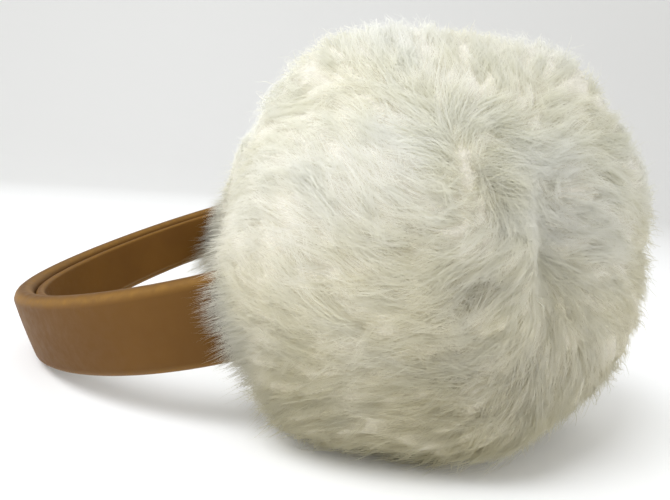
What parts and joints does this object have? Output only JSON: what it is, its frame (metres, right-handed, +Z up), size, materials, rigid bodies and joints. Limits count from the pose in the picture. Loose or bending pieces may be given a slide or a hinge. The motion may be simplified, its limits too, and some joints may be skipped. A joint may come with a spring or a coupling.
{
  "type": "fur earmuffs",
  "caption": "Fluffy ivory fur earmuffs on an open, padded tan leather head band, lying on their side.",
  "frame": {"origin": "on the ground, below the middle of the outline's box, with the earmuffs lying on their side", "axes": "+Z up from the ground; Y along the ears' axis, with the left ball at -Y; +X from the band's crown towards the balls"},
  "size_m": [0.183, 0.233, 0.109],
  "materials": {
    "strap_leather": "smooth semi-matte tan leather with rounded, padded edges",
    "lining_leather": "smooth matte tan leather lining",
    "fur": "long, soft, silky ivory fur combed in clumps"
  },
  "bodies": {
    "root": {"outer_strap": "strap_leather", "inner_strap": "lining_leather", "left_fur_ball": "fur", "right_fur_ball": "fur"}
  },
  "joints": []
}
